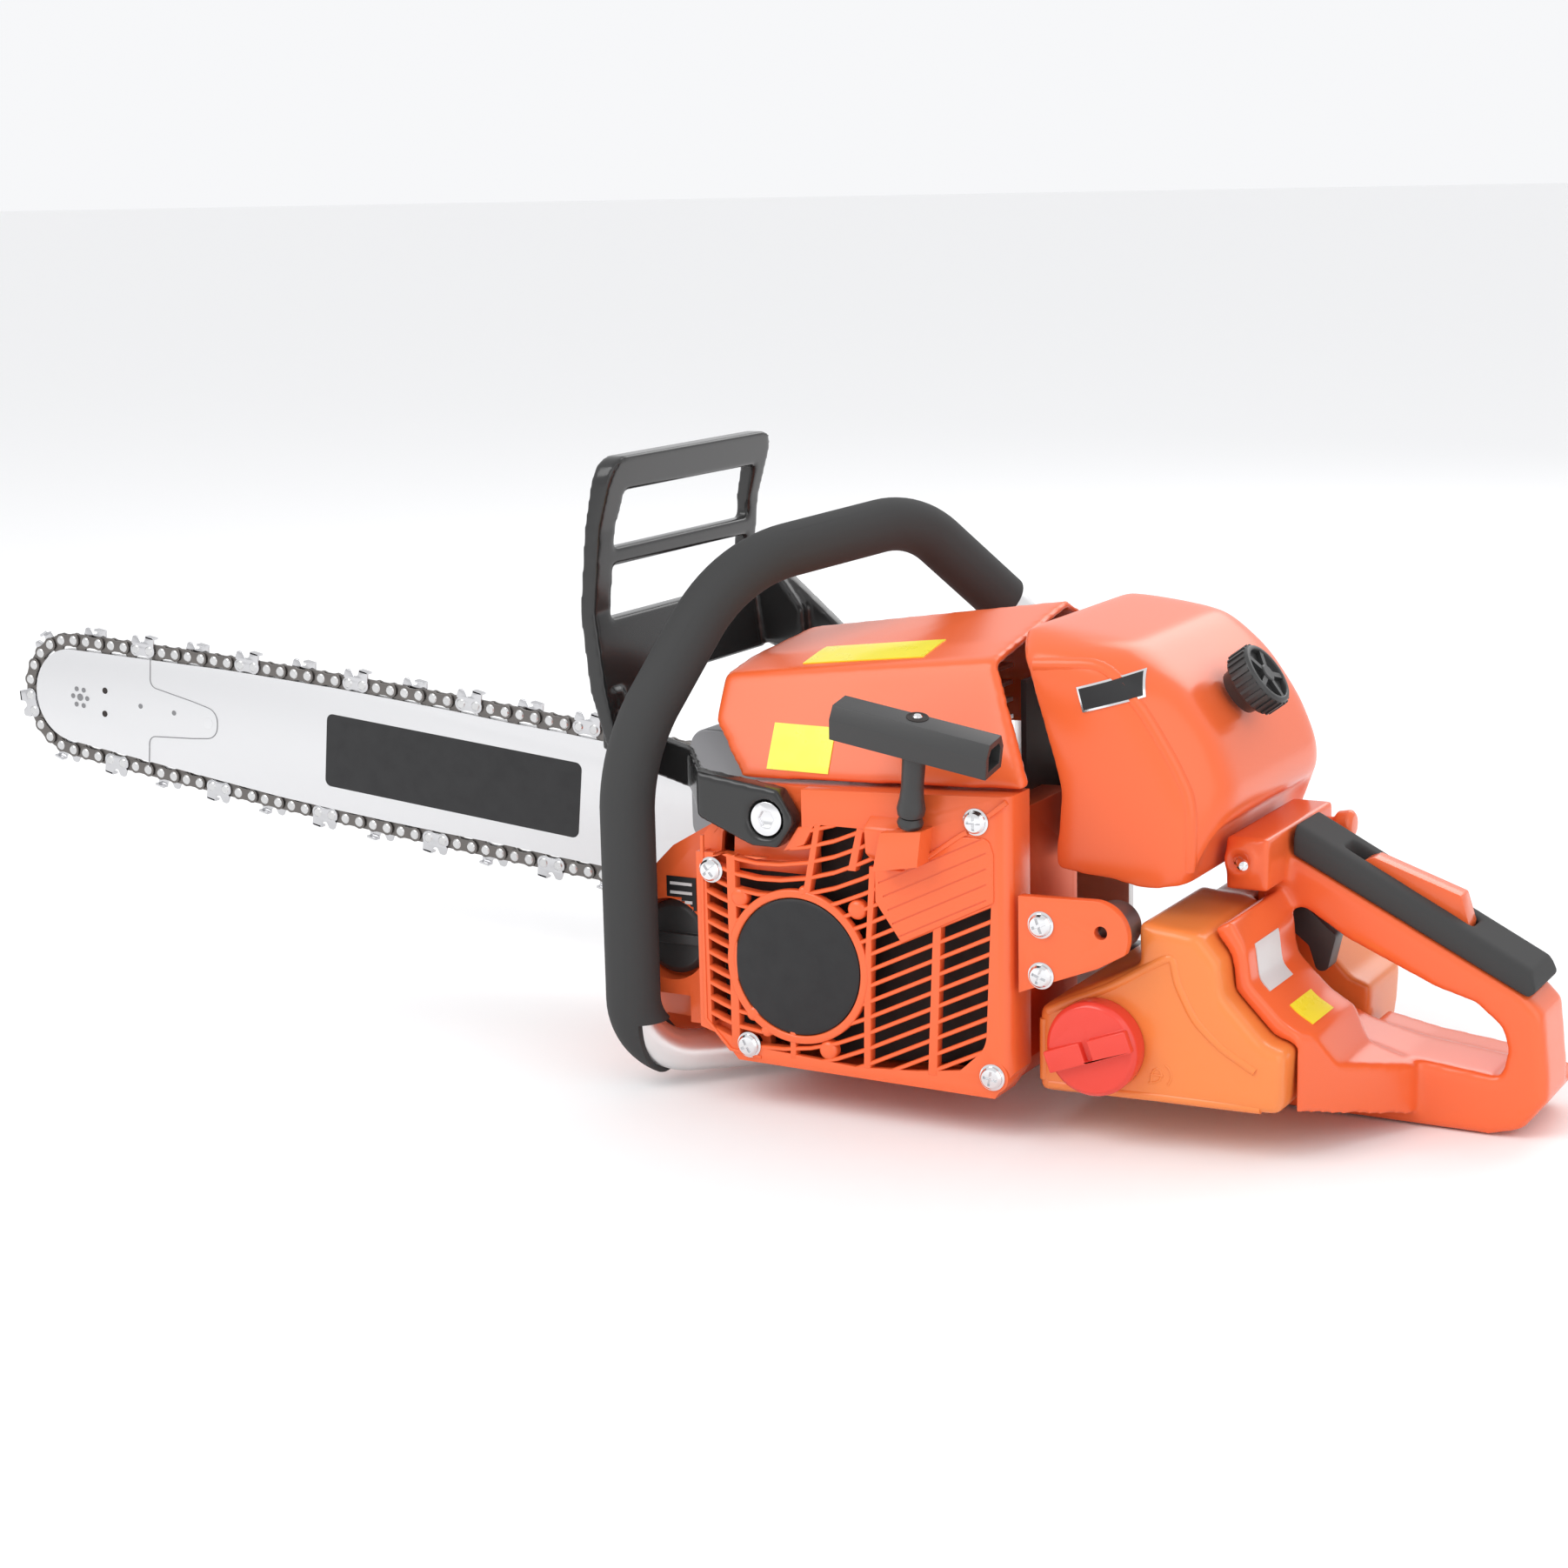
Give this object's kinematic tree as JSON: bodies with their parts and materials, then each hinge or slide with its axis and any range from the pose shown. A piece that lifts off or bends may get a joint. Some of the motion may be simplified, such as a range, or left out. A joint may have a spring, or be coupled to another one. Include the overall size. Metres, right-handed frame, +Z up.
{
  "type": "chainsaw",
  "caption": "Petrol chainsaw with a guide bar and chain, a wrapped front handle with a slotted hand guard, a recoil starter, a fuel tank and a closed rear handle.",
  "frame": {"origin": "on the ground under the crankshaft axis, in the centre plane of the cylinder and the rear handle", "axes": "+X to the rear handle, +Y to the clutch side on the right, +Z up"},
  "size_m": [0.9404, 0.2525, 0.299],
  "materials": {
    "case_orange": "satin paint on light alloy",
    "shell_orange": "gloss moulded nylon",
    "tank_amber": "gloss translucent nylon",
    "cap_red": "gloss",
    "black_gloss": "gloss",
    "black_satin": "satin",
    "grip_rubber": "matt",
    "tube_aluminium": "brushed",
    "cast_aluminium": "as cast",
    "bar_steel": "painted silver",
    "chain_steel": "blued",
    "cutter_chrome": "chrome plated",
    "bolt_chrome": "bright zinc",
    "dark_steel": "oiled",
    "filter_felt": "flocked",
    "rope_cord": "braided",
    "orange_plastic": "gloss"
  },
  "bodies": {
    "powerhead": {"air_cleaner_cover": "shell_orange", "air_filter": "filter_felt", "av_bracket": "shell_orange", "av_springs": "dark_steel", "bar_nuts": "bolt_chrome", "bar_studs": "dark_steel", "brake_band": "dark_steel", "carburetor": "cast_aluminium", "chain_cutters": "cutter_chrome", "chain_drive_links": "chain_steel", "chain_rivets": "chain_steel", "chain_tie_straps": "chain_steel", "clutch_cover": "case_orange", "clutch_drum": "dark_steel", "crankcase_left": "case_orange", "crankcase_right": "cast_aluminium", "cylinder": "cast_aluminium", "cylinder_cover": "shell_orange", "front_handle_grip": "grip_rubber", "front_handle_tube": "tube_aluminium", "fuel_tank": "tank_amber", "guard_screws": "bolt_chrome", "guide_bar": "bar_steel", "handle_bracket": "cast_aluminium", "housing_screws": "bolt_chrome", "ignition_coil": "black_satin", "intake_boot": "grip_rubber", "main_bearings": "dark_steel", "muffler": "dark_steel", "name_plate": "black_gloss", "nose_sprocket": "dark_steel", "oil_pump": "cast_aluminium", "oil_tank": "shell_orange", "rear_grip": "grip_rubber", "rear_handle_frame": "shell_orange", "rewind_spring": "dark_steel", "rim_sprocket": "dark_steel", "rope_eyelet": "black_satin", "spark_plug": "bolt_chrome", "spiked_bumper": "dark_steel", "starter_badge": "black_gloss", "starter_housing": "shell_orange"},
    "crank": {"crankshaft": "dark_steel", "flywheel": "cast_aluminium", "clutch_hub": "dark_steel", "clutch_shoes": "dark_steel"},
    "piston_assembly": {"piston": "cast_aluminium", "piston_pin": "dark_steel"},
    "rope_handle": {"starter_handle": "black_satin"},
    "pulley": {"starter_pulley": "black_satin", "starter_rope": "rope_cord"},
    "guard": {"hand_guard": "black_gloss"},
    "trigger": {"throttle_trigger": "black_satin"},
    "lockout": {"throttle_lockout": "orange_plastic"},
    "stop_toggle": {"stop_switch": "bolt_chrome"},
    "choke": {"choke_knob": "orange_plastic"},
    "cover_fastener": {"cover_knob": "black_satin"},
    "fuel_filler_cap": {"fuel_cap": "cap_red"},
    "oil_filler_cap": {"oil_cap": "black_satin"},
    "tensioner": {"tensioner_screw": "dark_steel"}
  },
  "joints": [
    {"name": "crank_spin", "type": "hinge", "parent": "powerhead", "child": "crank", "pos_m": [0, 0, 0.07], "axis": [0, 1, 0], "continuous": true},
    {"name": "piston_stroke", "type": "slide", "parent": "powerhead", "child": "piston_assembly", "axis": [0, 0, 1], "range_m": [-0.034, 0]},
    {"name": "starter_pull", "type": "slide", "parent": "powerhead", "child": "rope_handle", "axis": [0.171, -0.2, 0.9648], "range_m": [0, 0.7]},
    {"name": "pulley_spin", "type": "hinge", "parent": "powerhead", "child": "pulley", "pos_m": [0, -0.1, 0.07], "axis": [0, 1, 0], "range_deg": [0, 1440]},
    {"name": "guard_tilt", "type": "hinge", "parent": "powerhead", "child": "guard", "pos_m": [-0.013, 0, 0.139], "axis": [0, -1, 0], "range_deg": [0, 12]},
    {"name": "trigger_squeeze", "type": "hinge", "parent": "powerhead", "child": "trigger", "pos_m": [0.191, 0, 0.09], "axis": [0, -1, 0], "range_deg": [0, 14], "stiffness_Nm_per_rad": 0.3, "springref_deg": -17.19},
    {"name": "lockout_press", "type": "hinge", "parent": "powerhead", "child": "lockout", "pos_m": [0.274, 0, 0.086], "axis": [0, -1, 0], "range_deg": [0, 9], "stiffness_Nm_per_rad": 0.3, "springref_deg": -17.19},
    {"name": "stop_toggle", "type": "hinge", "parent": "powerhead", "child": "stop_toggle", "pos_m": [0.186, -0.0464, 0.122], "axis": [0, 0, 1], "range_deg": [-12, 12]},
    {"name": "choke_pull", "type": "slide", "parent": "powerhead", "child": "choke", "axis": [1, 0, 0], "range_m": [0, 0.012]},
    {"name": "cover_knob_turn", "type": "hinge", "parent": "powerhead", "child": "cover_fastener", "pos_m": [0.1768, -0.022, 0.193], "axis": [0.8083, 0, 0.5888], "continuous": true},
    {"name": "fuel_cap_turn", "type": "hinge", "parent": "powerhead", "child": "fuel_filler_cap", "pos_m": [0.142, -0.1, 0.046], "axis": [0, -1, 0], "continuous": true},
    {"name": "oil_cap_turn", "type": "hinge", "parent": "powerhead", "child": "oil_filler_cap", "pos_m": [-0.078, -0.09, 0.071], "axis": [0, -1, 0], "continuous": true},
    {"name": "tensioner_turn", "type": "hinge", "parent": "powerhead", "child": "tensioner", "pos_m": [-0.105, 0.0467, 0.05], "axis": [1, 0, 0], "continuous": true}
  ],
  "couplings": [
    {"joint": "pulley_spin", "follows": "starter_pull", "rad_per_m": 35.714}
  ]
}
